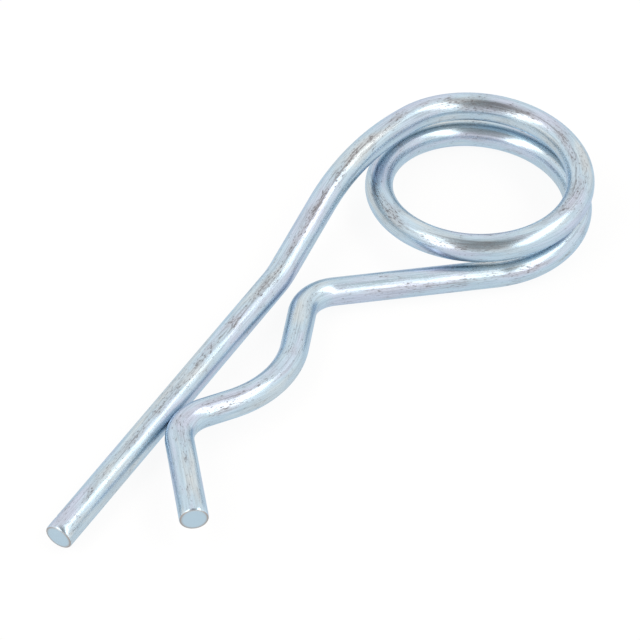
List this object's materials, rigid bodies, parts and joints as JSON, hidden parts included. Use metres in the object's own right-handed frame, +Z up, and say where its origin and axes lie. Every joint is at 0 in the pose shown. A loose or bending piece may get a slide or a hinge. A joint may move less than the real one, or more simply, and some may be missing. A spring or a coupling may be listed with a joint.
{
  "type": "hairpin cotter pin",
  "caption": "Hairpin cotter bent from round spring wire, with a double ring, a straight leg for the cross hole and a wavy leg that grips the shaft.",
  "frame": {"origin": "centre of the bounding box at its base, on the flat surface that the pin lies on", "axes": "+X along the straight leg from its tip towards the ring, +Y towards the straight leg's side of the pin, +Z up from the surface it lies on"},
  "size_m": [0.1064, 0.035, 0.0098],
  "materials": {
    "zinc_plated_wire": "bright zinc plate with a clear blue passivation over drawn spring steel"
  },
  "bodies": {
    "root": {"cotter_pin": "zinc_plated_wire"}
  },
  "joints": []
}
